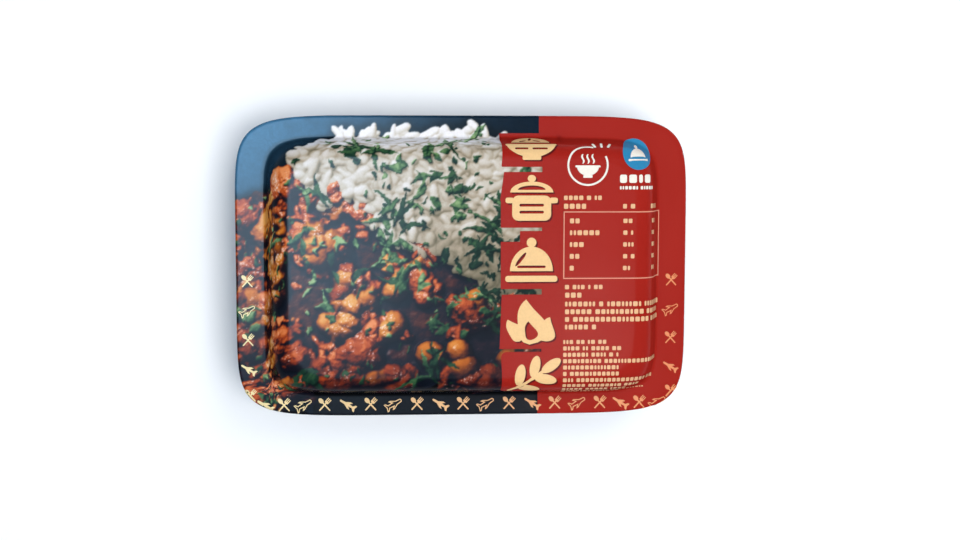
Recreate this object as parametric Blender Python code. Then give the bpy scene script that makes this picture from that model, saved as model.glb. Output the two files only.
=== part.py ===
"""Shut rectangular meal pack: a deep moulded tray and the printed lid that is pressed over its rim.

Metres, +Z up. The origin is the middle of the pack's foot, on the surface that it stands on.
The pack is shut and can't be seen into, so both pieces are solid right through.
"""

import math

import bmesh
import bpy

MM = 0.001

# Driving sizes of the whole pack, seen from above and from the side.
PACK_LENGTH = 180 * MM
PACK_WIDTH = 120 * MM
TRAY_HEIGHT = 36 * MM
LID_RISE = 14 * MM  # raised panel above the lid's flange

# Every level of the pack is a superellipse, nearly a rectangle with soft corners.
RIM_EXPONENT = 7.8
PANEL_FOOT_EXPONENT = 9.3
PANEL_TOP_EXPONENT = 8.0
BASE_EXPONENT = 5.6
POINTS_ROUND = 88

# Lid: a flange, a steep wall with a small foot radius and a large shoulder, and a skirt round the rim.
LID_SHEET = 1.2 * MM
LID_EDGE_RADIUS = 1.0 * MM
FLANGE_REACH = 10.9 * MM  # along the length; less across the width, by ACROSS_SHARE
ACROSS_SHARE = 0.74
FOOT_RADIUS = 1.5 * MM
SHOULDER_RADIUS = 9.0 * MM
WALL_ANGLE = math.radians(70)
SKIRT_DROP = 6.0 * MM
SKIRT_WALL = 1.0 * MM
LID_LIFT = 0.3 * MM  # gap between the lid's underside and the tray's rim

# Tray: a rim, a stacking shoulder under it, a drafted wall, a rounded base edge and a foot.
RIM_THICKNESS = 1.2 * MM
RIM_INSIDE_SKIRT = 0.6 * MM
RIM_OVERHANG = 4.2 * MM
STACK_DROP = 6.5 * MM
STACK_STEP = 1.6 * MM
WALL_DRAFT = 5.6 * MM
BASE_RADIUS = 6.0 * MM
FOOT_WIDTH = 9.0 * MM
FOOT_HEIGHT = 0.8 * MM
CORNER_SOFTNESS = 0.5 * MM


def clear_scene():
    for obj in list(bpy.data.objects):
        bpy.data.objects.remove(obj)


def plastic(name, colour, roughness):
    material = bpy.data.materials.new(name)
    material.use_nodes = True
    shader = material.node_tree.nodes["Principled BSDF"]
    shader.inputs["Base Color"].default_value = (*colour, 1)
    shader.inputs["Roughness"].default_value = roughness
    shader.inputs["Metallic"].default_value = 0
    return material


def signed_power(value, power):
    return math.copysign(abs(value) ** power, value)


def outline(half_x, half_y, exponent):
    """The points of one level, anticlockwise from above. They crowd together in the corners."""
    points = []
    for step in range(POINTS_ROUND):
        angle = 2 * math.pi * step / POINTS_ROUND
        x = half_x * signed_power(math.cos(angle), 2 / exponent)
        y = half_y * signed_power(math.sin(angle), 2 / exponent)
        points.append((x, y))
    return points


def loft(name, levels, material):
    """One closed solid through levels of (half_x, half_y, z, exponent), the first and last one capped."""
    mesh = bpy.data.meshes.new(name)
    shape = bmesh.new()
    rings = []
    for half_x, half_y, z, exponent in levels:
        rings.append([shape.verts.new((x, y, z)) for x, y in outline(half_x, half_y, exponent)])
    for lower, upper in zip(rings, rings[1:]):
        for i in range(POINTS_ROUND):
            j = (i + 1) % POINTS_ROUND
            shape.faces.new((lower[i], lower[j], upper[j], upper[i]))
    shape.faces.new(rings[0][::-1])
    shape.faces.new(rings[-1])
    bmesh.ops.recalc_face_normals(shape, faces=shape.faces)
    shape.to_mesh(mesh)
    shape.free()
    mesh.materials.append(material)
    mesh.shade_smooth()
    mesh.set_sharp_from_angle(angle=math.radians(35))
    obj = bpy.data.objects.new(name, mesh)
    bpy.context.scene.collection.objects.link(obj)
    return obj


def arc(centre_run, centre_z, radius, start, end, steps):
    """Points (run, z) of a round stretch of a section, angles in degrees from the direction of +run."""
    points = []
    for step in range(steps + 1):
        angle = math.radians(start + (end - start) * step / steps)
        points.append((centre_run + radius * math.cos(angle), centre_z + radius * math.sin(angle)))
    return points


def panel_section(flange_top):
    """(run, z) from the flange's inner edge up to the flat top: foot radius, wall and shoulder.

    A run is a distance inwards from the rim, along the pack's length.
    """
    wall_degrees = math.degrees(WALL_ANGLE)
    foot = arc(FLANGE_REACH, flange_top + FOOT_RADIUS, FOOT_RADIUS, -90, wall_degrees - 90, 3)
    foot_drop = FOOT_RADIUS * (1 - math.cos(WALL_ANGLE))
    shoulder_drop = SHOULDER_RADIUS * (1 - math.cos(WALL_ANGLE))
    wall_rise = LID_RISE - foot_drop - shoulder_drop
    wall_run = wall_rise / math.tan(WALL_ANGLE)
    shoulder_centre = foot[-1][0] + wall_run + SHOULDER_RADIUS * math.sin(WALL_ANGLE)
    shoulder_z = flange_top + LID_RISE - SHOULDER_RADIUS
    shoulder = arc(shoulder_centre, shoulder_z, SHOULDER_RADIUS, 90 + wall_degrees, 90, 8)
    return foot, shoulder


def blend(start, end, share):
    return start + (end - start) * share


def make_lid(material):
    half_x = PACK_LENGTH / 2
    half_y = PACK_WIDTH / 2
    underside = TRAY_HEIGHT + LID_LIFT
    flange_top = underside + LID_SHEET
    skirt_foot = flange_top - SKIRT_DROP
    levels = []

    def straight(inset, z):
        levels.append((half_x - inset, half_y - inset, z, RIM_EXPONENT))

    def relief(run, z, exponent):
        levels.append((half_x - run, half_y - run * ACROSS_SHARE, z, exponent))

    straight(SKIRT_WALL, underside)
    straight(SKIRT_WALL, skirt_foot)
    straight(0, skirt_foot)
    for run, z in arc(LID_EDGE_RADIUS, flange_top - LID_EDGE_RADIUS, LID_EDGE_RADIUS, 180, 90, 3):
        straight(run, z)
    foot, shoulder = panel_section(flange_top)
    for run, z in foot:
        relief(run, z, PANEL_FOOT_EXPONENT)
    for step, (run, z) in enumerate(shoulder):
        relief(run, z, blend(PANEL_FOOT_EXPONENT, PANEL_TOP_EXPONENT, step / (len(shoulder) - 1)))
    return loft("lid", levels, material)


def make_tray(material):
    rim_x = PACK_LENGTH / 2 - SKIRT_WALL - RIM_INSIDE_SKIRT
    rim_y = PACK_WIDTH / 2 - SKIRT_WALL - RIM_INSIDE_SKIRT
    rim_under = TRAY_HEIGHT - RIM_THICKNESS
    stack_z = TRAY_HEIGHT - STACK_DROP
    levels = []

    def level(inset, z):
        exponent = blend(BASE_EXPONENT, RIM_EXPONENT, min(1, z / stack_z))
        levels.append((rim_x - inset, rim_y - inset, z, exponent))

    mouth = RIM_OVERHANG
    upper_wall = mouth + STACK_STEP
    base_wall = upper_wall + WALL_DRAFT
    foot_outer = base_wall + BASE_RADIUS
    foot_inner = foot_outer + FOOT_WIDTH

    level(foot_inner + FOOT_HEIGHT, FOOT_HEIGHT)
    level(foot_inner, 0)
    for run, z in reversed(arc(foot_outer, BASE_RADIUS, BASE_RADIUS, 180, 270, 6)):
        level(run, z)
    level(upper_wall + CORNER_SOFTNESS / 3, stack_z - CORNER_SOFTNESS)
    level(upper_wall - CORNER_SOFTNESS, stack_z)
    level(mouth + CORNER_SOFTNESS, stack_z + CORNER_SOFTNESS)
    level(mouth, stack_z + 2 * CORNER_SOFTNESS)
    level(mouth - CORNER_SOFTNESS / 2, rim_under - CORNER_SOFTNESS)
    level(mouth - CORNER_SOFTNESS, rim_under)
    level(CORNER_SOFTNESS, rim_under)
    level(0, rim_under + CORNER_SOFTNESS)
    level(0, TRAY_HEIGHT - CORNER_SOFTNESS)
    level(CORNER_SOFTNESS, TRAY_HEIGHT)
    return loft("tray", levels, material)


def main():
    clear_scene()
    make_tray(plastic("tray_plastic", (0.030, 0.030, 0.034), 0.45))
    make_lid(plastic("printed_lid", (0.42, 0.045, 0.035), 0.30))


main()
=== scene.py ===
"""Looks of a shut airline meal pack: a printed moulded lid over a dark tray.

Metres, +Z up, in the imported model's frame. The lid and the tray are made again as fine smooth shells.
The print is made of thin coloured shapes on a flat sheet, in millimetres, draped over the lid.
"""

import math

import bpy
import numpy as np
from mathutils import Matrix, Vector
from mathutils.geometry import delaunay_2d_cdt


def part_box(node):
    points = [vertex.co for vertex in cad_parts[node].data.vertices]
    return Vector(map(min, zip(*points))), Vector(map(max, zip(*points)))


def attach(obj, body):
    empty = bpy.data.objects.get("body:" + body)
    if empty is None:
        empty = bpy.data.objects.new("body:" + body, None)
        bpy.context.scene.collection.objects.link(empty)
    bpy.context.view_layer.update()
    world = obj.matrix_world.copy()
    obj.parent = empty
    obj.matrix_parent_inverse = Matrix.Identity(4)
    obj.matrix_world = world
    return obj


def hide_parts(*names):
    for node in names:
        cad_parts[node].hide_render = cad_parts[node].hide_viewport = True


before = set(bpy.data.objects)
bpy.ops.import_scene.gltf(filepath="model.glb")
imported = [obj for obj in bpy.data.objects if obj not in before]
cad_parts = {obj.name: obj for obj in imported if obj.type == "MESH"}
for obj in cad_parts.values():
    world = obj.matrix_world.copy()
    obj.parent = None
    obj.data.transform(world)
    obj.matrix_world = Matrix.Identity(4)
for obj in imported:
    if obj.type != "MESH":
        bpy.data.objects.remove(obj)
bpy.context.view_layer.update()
MM = 0.001

# The lid's form, as in the model that the frame holds.
LID_LOW, LID_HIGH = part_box("lid")
TRAY_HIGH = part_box("tray")[1]
HALF_X = LID_HIGH.x
HALF_Y = LID_HIGH.y
PANEL_Z = LID_HIGH.z
SKIRT_FOOT = LID_LOW.z
LID_RISE = 14 * MM
FLANGE_Z = PANEL_Z - LID_RISE
LID_SHEET = 1.2 * MM
EDGE_RADIUS = 1.0 * MM
FLANGE_REACH = 10.9 * MM
ACROSS_SHARE = 0.74
FOOT_RADIUS = 1.5 * MM
SHOULDER_RADIUS = 9.0 * MM
WALL_DEGREES = 70
SKIRT_WALL = 1.0 * MM
RIM_EXPONENT = 7.8
PANEL_FOOT_EXPONENT = 9.3
PANEL_TOP_EXPONENT = 8.0

# The tray's form.
TRAY_HALF_X = TRAY_HIGH.x
TRAY_HALF_Y = TRAY_HIGH.y
TRAY_TOP = TRAY_HIGH.z
BASE_EXPONENT = 5.6
RIM_THICKNESS = 1.2 * MM
RIM_OVERHANG = 4.2 * MM
STACK_DROP = 6.5 * MM
STACK_STEP = 1.6 * MM
WALL_DRAFT = 5.6 * MM
BASE_RADIUS = 6.0 * MM
FOOT_WIDTH = 9.0 * MM
FOOT_HEIGHT = 0.8 * MM
CORNER_SOFTNESS = 0.5 * MM

ROUND_POINTS = 400

# The print. Lifts above the lid are in millimetres, and keep the layers in order.
PICTURE_RIGHT = 30.3
INK_SHARE = 0.70
SLIVER = 1e-12  # twice the area of a triangle too small to keep, in square metres
WELD = 1e-5  # millimetres between points of a motif that become one
LIFT_FOOD = 0.04
LIFT_PATCH = 0.165
LIFT_SHADE = 0.190
LIFT_BORDER = 0.190
LIFT_TOP = 0.220
PICTURE_SUN = np.array([-0.33, 0.55, 0.77])
PICTURE_SUN /= np.linalg.norm(PICTURE_SUN)

# Colours as seen, 0 to 255. A list runs from shade to light.
SAUCE = [(12, 18, 28), (20, 26, 38), (34, 30, 42), (70, 38, 40), (120, 62, 46)]
STEW = [(16, 18, 30), (46, 24, 30), (104, 40, 29), (166, 66, 33), (210, 101, 48), (240, 150, 92)]
AMBER = [(18, 20, 30), (56, 30, 34), (116, 58, 32), (178, 92, 32), (218, 128, 46), (240, 172, 90)]
RICE = [(64, 62, 48), (120, 112, 90), (174, 160, 138), (208, 199, 184), (231, 227, 223), (252, 251, 255)]
HERB = [(10, 26, 24), (24, 54, 42), (56, 94, 60), (104, 142, 92), (160, 192, 134)]
GOLD = (253, 211, 152)
GOLD_SHADE = (96, 24, 26)
RED, RED_LIGHT = (169, 37, 28), (173, 41, 32)
CREAM = (246, 196, 150)
PALE = (240, 164, 138)
WHITE = (255, 250, 238)
BADGE_BLUE = (52, 142, 190)

# The picture of food. Rice lies over the upper right, and the stew below and to the left of it.
# It is worked out as a relief over the flat sheet, in millimetres, which is then lit from its upper left.
# A place there is (u, v), along and across the pack from its middle.
PICTURE = (-104, PICTURE_RIGHT, -70, 70)  # its left, right, lower and upper ends
CELL = 0.18  # between the relief's points
INK_CELLS = 2  # of them from one point of ink to the next
RICE_EDGE = np.array(  # the lower edge of the rice, from left to right
    [(-75, 47), (-68, 38), (-52, 25), (-44, 27), (-30, 12), (-10, 5), (2, -2), (12, -13), (34, -16)], float
)
RICE_LEFT, RICE_TOP = -66, 62.4
CLUMP_RISE, CLUMP_STEP = 2.0, 2.1
STEW_TOP_LEFT = 27.6
LUMP_SHARE = 0.78  # of the stew's pieces; the others are strands
BALLS = (-50, 24, -40, 4)  # ends of the stretch with round pieces, as in PICTURE
BALL_SHARE = 0.62  # of the places for them that hold one
SHADOW_RISE = 0.85  # of the light over the relief, for each millimetre along it
SHADOW_STEP, SHADOW_REACH, SHADOW_DEPTH = 0.45, 6, 1.1
# A soft shadow painted on the tabletop round the food: how far it spreads in mm, and how dark it is.
FOOD_SHADOW_SPREAD, FOOD_SHADOW_DEPTH = 2.6, 0.42
SHINE_COLOUR = np.array((255, 238, 232))

# What lies on top at a point is one of these kinds, or 0 where the tabletop shows.
SAUCE_KIND, RICE_KIND, STEW_KIND, AMBER_KIND, HERB_KIND = 1, 2, 3, 4, 5
# For 0 and then for each kind: its grain and its glaze in mm, how dark its shadows are, and its shine.
GRAIN = np.array([0.12, 0.12, 0.05, 0.25, 0.09, 0.12])
GLAZE = np.array([0.24, 0, 0, 0.24, 0.24, 0.24])
DARKNESS = np.array([0.62, 0.62, 0.28, 0.62, 0.62, 0.62])
SHINE = np.array([3.6, 0.3, 0.25, 3.6, 3.6, 0.3])
SHARPNESS = 90  # of the gloss

# The tabletop under the food. Its colours change between these places on the lid, in metres.
SLATE_LEFT, SLATE_RIGHT, SLATE_LOW = (66, 122, 162), (8, 28, 45), (26, 30, 37)
SLATE_UP = (-0.030, 0.056)
SLATE_ACROSS = (-0.092, 0.026)
# How dark the painted shade is where the tabletop runs down the lid's walls.
SLATE_WALL_SHADE = 0.46
BRUSHING = np.array([[0.5, 1.9], [-0.4, 1.4]])  # the brush marks' direction and how long they are

# Where the title's motifs and their red grounds lie on the sheet, in millimetres.
TITLE_X = 26.2
TITLE_SHADE = (0.6, -0.6)
TITLE_ROWS = (51.6, 27.4, 3.7, -20.8, -43.6)
PATCH_LEFT = 14.2
PATCH_RIGHT = 38.6
PATCHES = ((39.9, 62.0), (16.3, 37.9), (-7.7, 15.0), (-31.3, -9.9), (-51.0, -32.5))

# The small print's blocks, as shares of its height, and how many of them another one follows closely.
BLOCK_WIDTHS = [0.85, 0.85, 0.95, 0.5]
BLOCK_LEAST, BLOCK_RADIUS, BLOCK_GAP = 0.6, 0.22, 0.28
CLOSE_SHARE = 0.86

# The border's motifs, in millimetres on the lid. The long row's steps shorten beyond SQUEEZE_FROM.
BORDER_V, BORDER_START, BORDER_STEP, BORDER_SCALE = -55.4, -74.1, 9.28, 0.92
SQUEEZE_FROM, SQUEEZE, SQUEEZE_POWER = 52, 0.0245, 1.5
COLUMNS, COLUMN_TOP, COLUMN_STEP, COLUMN_SCALE = (-85.5, 84.2), -5.6, 11.75, 0.86
CORNERS = ((-84.8, -51.4), (84.6, -50.9))
BORDER_LEFT, BORDER_RIGHT = np.array((255, 240, 184)), np.array((246, 158, 108))


def linear(colour):
    """Colours as seen, 0 to 255, turned into the light that they send back."""
    share = np.asarray(colour, float) / 255
    return np.where(share <= 0.04045, share / 12.92, ((share + 0.055) / 1.055) ** 2.4)


def blend(first, second, share):
    return first * (1 - share) + second * share


def ramp(stops, level):
    """Colours as seen between evenly spaced stops, for levels from 0 to 1."""
    stops = np.array(stops, float)
    place = np.clip(level, 0, 1) * (len(stops) - 1)
    low = np.minimum(place.astype(int), len(stops) - 2)
    return blend(stops[low], stops[low + 1], (place - low)[..., None])


def lattice(column, row, seed):
    """A random value from -1 to 1 for each corner of a lattice."""
    value = np.sin(column * 127.1 + row * 311.7 + seed * 74.7) * 43758.5453
    return (value - np.floor(value)) * 2 - 1


def noise(places, size, seed):
    """Smooth noise from -1 to 1 at places (..., 2), in patches of that size."""
    scaled = places / size
    cell = np.floor(scaled)
    share = scaled - cell
    share = share * share * (3 - 2 * share)
    column, row = cell[..., 0], cell[..., 1]
    low, high = (
        blend(lattice(column, level, seed), lattice(column + 1, level, seed), share[..., 0])
        for level in (row, row + 1)
    )
    return blend(low, high, share[..., 1])


def fractal(places, size, seed):
    """Three layers of noise, each half the size and half the strength of the one before."""
    return sum(noise(places, size / part, seed + index) / part for index, part in enumerate((1, 2, 4)))


def section_arc(centre_run, centre_z, radius, start, end, steps):
    """Points (run, z) of a round stretch of a section. A run is a distance inwards from the rim."""
    angles = np.radians(np.linspace(start, end, steps + 1))
    return np.column_stack([centre_run + radius * np.cos(angles), centre_z + radius * np.sin(angles)])


def panel_section():
    """(run, z) of the foot arc and of the shoulder arc, with the straight wall between them."""
    slope = math.radians(WALL_DEGREES)
    foot = section_arc(FLANGE_REACH, FLANGE_Z + FOOT_RADIUS, FOOT_RADIUS, -90, WALL_DEGREES - 90, 10)
    rounded = (FOOT_RADIUS + SHOULDER_RADIUS) * (1 - math.cos(slope))
    wall_run = (LID_RISE - rounded) / math.tan(slope)
    centre = foot[-1][0] + wall_run + SHOULDER_RADIUS * math.sin(slope)
    shoulder = section_arc(centre, PANEL_Z - SHOULDER_RADIUS, SHOULDER_RADIUS, 90 + WALL_DEGREES, 90, 28)
    return foot, shoulder


def panel_levels():
    """Levels (half_x, half_y, z, exponent) from the flange's inner edge up to the flat top."""
    foot, shoulder = panel_section()
    run, z = np.vstack([foot, shoulder]).T
    turn = np.concatenate([np.zeros(len(foot)), np.linspace(0, 1, len(shoulder))])
    exponent = PANEL_FOOT_EXPONENT + (PANEL_TOP_EXPONENT - PANEL_FOOT_EXPONENT) * turn
    return np.column_stack([HALF_X - run, HALF_Y - run * ACROSS_SHARE, z, exponent])


def lid_levels():
    """Every level of the closed lid, from its underside round the skirt and up to the flat top."""
    underside = FLANGE_Z - LID_SHEET
    soft = 0.15 * MM
    rows = [
        (SKIRT_WALL + soft, underside),
        (SKIRT_WALL, underside - soft),
        (SKIRT_WALL, SKIRT_FOOT + soft),
        (SKIRT_WALL - soft, SKIRT_FOOT),
        (soft, SKIRT_FOOT),
        (0, SKIRT_FOOT + soft),
    ]
    edge = section_arc(EDGE_RADIUS, FLANGE_Z - EDGE_RADIUS, EDGE_RADIUS, 180, 90, 8)
    rim = [(HALF_X - inset, HALF_Y - inset, z, RIM_EXPONENT) for inset, z in [*rows, *edge]]
    return np.vstack([rim, panel_levels()])


def tray_levels():
    """Every level of the tray, from inside its foot up the wall and over the rim."""
    stack_z = TRAY_TOP - STACK_DROP
    rim_under = TRAY_TOP - RIM_THICKNESS
    soft = CORNER_SOFTNESS
    upper_wall = RIM_OVERHANG + STACK_STEP
    foot_outer = upper_wall + WALL_DRAFT + BASE_RADIUS
    foot_inner = foot_outer + FOOT_WIDTH
    base = section_arc(foot_outer, BASE_RADIUS, BASE_RADIUS, 270, 180, 14)
    rows = [
        (foot_inner + FOOT_HEIGHT, FOOT_HEIGHT),
        (foot_inner, 0),
        *((run, max(z, 0)) for run, z in base),
        (upper_wall + soft / 3, stack_z - soft),
        (upper_wall - soft, stack_z),
        (RIM_OVERHANG + soft, stack_z + soft),
        (RIM_OVERHANG, stack_z + 2 * soft),
        (RIM_OVERHANG - soft / 2, rim_under - soft),
        (RIM_OVERHANG - soft, rim_under),
        (soft, rim_under),
        (0, rim_under + soft),
        (0, TRAY_TOP - soft),
        (soft, TRAY_TOP),
    ]
    levels = []
    for inset, z in rows:
        exponent = BASE_EXPONENT + (RIM_EXPONENT - BASE_EXPONENT) * min(1, z / stack_z)
        levels.append((TRAY_HALF_X - inset, TRAY_HALF_Y - inset, z, exponent))
    return np.array(levels)


def superellipse(half_x, half_y, exponent, turns):
    """x and y of a level's outline, nearly a rectangle with soft corners."""
    cos, sin = np.cos(turns), np.sin(turns)
    x = half_x * np.sign(cos) * np.abs(cos) ** (2 / exponent)
    y = half_y * np.sign(sin) * np.abs(sin) ** (2 / exponent)
    return x, y


def lengths_along(x, y):
    """The length of a line up to each of its points."""
    return np.concatenate([[0], np.cumsum(np.hypot(np.diff(x), np.diff(y)))])


def even_turns():
    """Angles whose points lie evenly along the rim. Equal steps of angle would crowd into the corners."""
    turns = np.linspace(0, 2 * math.pi, 100 * ROUND_POINTS + 1)
    x, y = superellipse(HALF_X, HALF_Y, RIM_EXPONENT, turns)
    length = lengths_along(x, y)
    return np.interp(np.arange(ROUND_POINTS) * length[-1] / ROUND_POINTS, length, turns)


def new_mesh(name, points, faces, material):
    mesh = bpy.data.meshes.new(name)
    mesh.from_pydata(points, [], faces)
    mesh.materials.append(material)
    return mesh


def placed(name, data):
    """A new object in the scene with that mesh, light or camera."""
    thing = bpy.data.objects.new(name, data)
    bpy.context.scene.collection.objects.link(thing)
    return thing


def shell(name, levels, material, replaced):
    """A closed smooth solid through superellipse levels, in place of a node of the model."""
    turns = even_turns()
    cap_shares = (0.2, 0.5, 0.8)
    lowest, highest = levels[0], levels[-1]
    rings = [lowest * (share, share, 1, 1) for share in cap_shares]
    rings += list(levels)
    rings += [highest * (share, share, 1, 1) for share in cap_shares[::-1]]
    points = []
    for half_x, half_y, z, exponent in rings:
        x, y = superellipse(half_x, half_y, exponent, turns)
        points.append(np.column_stack([x, y, np.full(ROUND_POINTS, z)]))
    here = np.arange(ROUND_POINTS)
    following = (here + 1) % ROUND_POINTS
    faces = [here[::-1].tolist()]
    for ring in range(len(rings) - 1):
        low, high = ring * ROUND_POINTS, (ring + 1) * ROUND_POINTS
        faces += np.column_stack([low + here, low + following, high + following, high + here]).tolist()
    faces.append(((len(rings) - 1) * ROUND_POINTS + here).tolist())
    mesh = new_mesh(name, np.vstack(points).tolist(), faces, material)
    mesh.shade_smooth()
    mesh.set_sharp_from_angle(angle=math.radians(50))
    piece = placed(name, mesh)
    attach(piece, "root")
    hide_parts(replaced)


class LidForm:
    """The lid's outer surface, and the way a flat printed sheet is drawn down over it."""

    STEP = 0.25 * MM

    def __init__(self):
        levels = panel_levels()
        x = np.arange(0, HALF_X + 2 * self.STEP, self.STEP)
        y = np.arange(0, HALF_Y + 2 * self.STEP, self.STEP)
        across, along = np.meshgrid(y, x)
        spread = [self.reach(along, across, level) for level in levels]
        height = np.full(along.shape, levels[-1][2])
        height[spread[0] >= 1] = levels[0][2]
        for outer, inner, low, high in zip(spread, spread[1:], levels, levels[1:]):
            between = (outer < 1) & (inner >= 1)
            share = (1 - outer[between]) / (inner[between] - outer[between])
            height[between] = low[2] + share * (high[2] - low[2])
        self.height = height
        self.slopes = np.gradient(height, self.STEP)
        self.sections = [self.section(0), self.section(1)]

    @staticmethod
    def reach(x, y, level):
        """1 on the level's outline, less inside it and more outside."""
        half_x, half_y, _, exponent = level
        return ((x / half_x) ** exponent + (y / half_y) ** exponent) ** (1 / exponent)

    @staticmethod
    def section(axis):
        """Places outwards from the middle, and the lengths of sheet that reach them."""
        levels = panel_levels()[::-1]
        half = (HALF_X, HALF_Y)[axis]
        places = np.concatenate([[0], levels[:, axis], [half]])
        heights = np.concatenate([[levels[0][2]], levels[:, 2], [levels[-1][2]]])
        lengths = lengths_along(places, heights)
        past = 50 * MM
        return np.append(places, places[-1] + past), np.append(lengths, lengths[-1] + past)

    def drawn_down(self, sheet):
        """Where places on the flat sheet lie, seen from above, once it follows the walls."""
        seen = np.empty_like(sheet)
        for axis, (places, lengths) in enumerate(self.sections):
            values = sheet[..., axis]
            seen[..., axis] = np.sign(values) * np.interp(np.abs(values), lengths, places)
        return seen

    def sample(self, grid, x, y):
        """The grid's value at places in the first quarter, read between its points."""
        column, row = x / self.STEP, y / self.STEP
        i = np.clip(column.astype(int), 0, grid.shape[0] - 2)
        j = np.clip(row.astype(int), 0, grid.shape[1] - 2)
        right, up = np.clip(column - i, 0, 1), np.clip(row - j, 0, 1)
        low = blend(grid[i, j], grid[i + 1, j], right)
        high = blend(grid[i, j + 1], grid[i + 1, j + 1], right)
        return blend(low, high, up)

    def lay(self, seen, lift):
        """Points on the lid's outer surface under places (n, 2) seen from above, and their normals."""
        x, y = seen.T
        quarter = np.abs(seen).T
        points = np.column_stack([x, y, self.sample(self.height, *quarter)])
        slope_x = np.sign(x) * self.sample(self.slopes[0], *quarter)
        slope_y = np.sign(y) * self.sample(self.slopes[1], *quarter)
        normals = np.column_stack([-slope_x, -slope_y, np.ones(len(x))])
        edge = (HALF_X - EDGE_RADIUS, HALF_Y - EDGE_RADIUS, FLANGE_Z, RIM_EXPONENT)
        self.fold_over(points, normals, seen, self.reach(*quarter, edge), edge)
        normals /= np.linalg.norm(normals, axis=1)[:, None]
        return points + normals * lift[:, None], normals

    def fold_over(self, points, normals, seen, reach, edge):
        """Past the flange the sheet turns round the edge and hangs down the skirt."""
        over = reach > 1
        foot = seen[over] / reach[over][:, None]
        beyond = np.linalg.norm(seen[over] - foot, axis=1)
        turn = np.minimum(beyond / EDGE_RADIUS, math.pi / 2)
        inset = EDGE_RADIUS * (1 - np.sin(turn))
        down = np.clip(beyond - EDGE_RADIUS * math.pi / 2, 0, FLANGE_Z - EDGE_RADIUS - SKIRT_FOOT)
        points[over, 0] = foot[:, 0] * (HALF_X - inset) / edge[0]
        points[over, 1] = foot[:, 1] * (HALF_Y - inset) / edge[1]
        points[over, 2] = FLANGE_Z - EDGE_RADIUS * (1 - np.cos(turn)) - down
        outward = np.sign(foot) * np.abs(foot / edge[:2]) ** (edge[3] - 1) / edge[:2]
        outward /= np.linalg.norm(outward, axis=1)[:, None]
        normals[over, :2] = outward * np.sin(turn)[:, None]
        normals[over, 2] = np.cos(turn)


LID = LidForm()


class Ink:
    """One layer of the print: coloured shapes that are gathered into one mesh on the lid."""

    def __init__(self, name):
        self.name = name
        self.seen = []
        self.lifts = []
        self.colours = []
        self.faces = []
        self.count = 0

    def add(self, sheet, faces, colours, lift, drawn=True):
        """A shape: sheet (n, 2) and its lift in mm, faces (f, 3), and its colour or colours as seen.

        Without drawn, it lies on the flat flange or top and isn't stretched down the walls.
        """
        sheet = np.asarray(sheet, float) * MM
        self.seen.append(LID.drawn_down(sheet) if drawn else sheet)
        self.lifts.append(np.full(len(sheet), lift))
        self.colours.append(np.broadcast_to(colours, sheet.shape[:1] + (3,)))
        self.faces.append(faces + self.count)
        self.count += len(sheet)

    def build(self, material):
        seen = np.vstack(self.seen)
        points, normals = LID.lay(seen, np.concatenate(self.lifts) * MM)
        faces = np.vstack(self.faces)
        corners = points[faces]
        facing = np.cross(corners[:, 1] - corners[:, 0], corners[:, 2] - corners[:, 0])
        downward = (facing * normals[faces[:, 0]]).sum(axis=1) < 0
        faces[downward] = faces[downward][:, ::-1]
        faces = faces[np.linalg.norm(facing, axis=1) > SLIVER]
        mesh = new_mesh(self.name, points.tolist(), faces.tolist(), material)
        colour = mesh.color_attributes.new("Ink", "FLOAT_COLOR", "POINT")
        shades = linear(np.vstack(self.colours)) * INK_SHARE
        colour.data.foreach_set("color", np.column_stack([shades, np.ones(len(shades))]).ravel())
        mesh.shade_smooth()
        mesh.normals_split_custom_set_from_vertices(normals.tolist())
        piece = placed(self.name, mesh)
        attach(piece, "root")


def strip_faces(steps, across):
    """Triangles of a grid of (steps + 1) rows of points, across points in each."""
    row, column = np.meshgrid(np.arange(steps), np.arange(across - 1), indexing="ij")
    corner = (row * across + column).ravel()
    first = np.column_stack([corner, corner + 1, corner + across + 1])
    second = np.column_stack([corner, corner + across + 1, corner + across])
    return np.vstack([first, second])


def scatter(bounds, spacing, jitter, seed):
    """Staggered places (n, 2), each moved at random."""
    low_u, high_u, low_v, high_v = bounds
    rng = np.random.default_rng(seed)
    row_step = spacing * math.sqrt(3) / 2
    columns = np.arange(int((high_u - low_u) / spacing) + 1)
    rows = np.arange(int((high_v - low_v) / row_step) + 1)
    i, j = (index.ravel() for index in np.meshgrid(columns, rows))
    places = np.column_stack([low_u + (i + 0.5 * (j % 2)) * spacing, low_v + j * row_step])
    return places + rng.uniform(-jitter, jitter, places.shape) * spacing


def smooth(low, high, value):
    share = np.clip((value - low) / (high - low), 0, 1)
    return share * share * (3 - 2 * share)


def rice_edge(u):
    return np.interp(u, *RICE_EDGE.T)


def in_rice(places):
    """Where rice lies. Its far edge is a row of clumps on the flange."""
    u, v = places[..., 0], places[..., 1]
    ragged = fractal(places, 9, 11)
    along = places * (1, 0)
    uneven = 2 * noise(along, 11, 12)
    top = RICE_TOP + CLUMP_RISE * np.sin(u / CLUMP_STEP + uneven) + 1.6 * noise(along, 9, 13)
    top = np.where(u < -50, 60 - (-50 - u) * 0.9, top) - 8 * smooth(10, 20, u)
    return (v > rice_edge(u) + 3 * ragged) & (v < top) & (u > RICE_LEFT + 2 * ragged)


def in_stew(places):
    u, v = places[..., 0], places[..., 1]
    ragged = fractal(places, 10, 15)
    top = np.minimum(rice_edge(u) + 2, STEW_TOP_LEFT + 0.28 * (u + 92) + 3 * ragged)
    bottom = np.where(u < -60, -66, -50 + 0.05 * (u + 60)) + 3 * ragged
    return (v < top) & (v > bottom)


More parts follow.
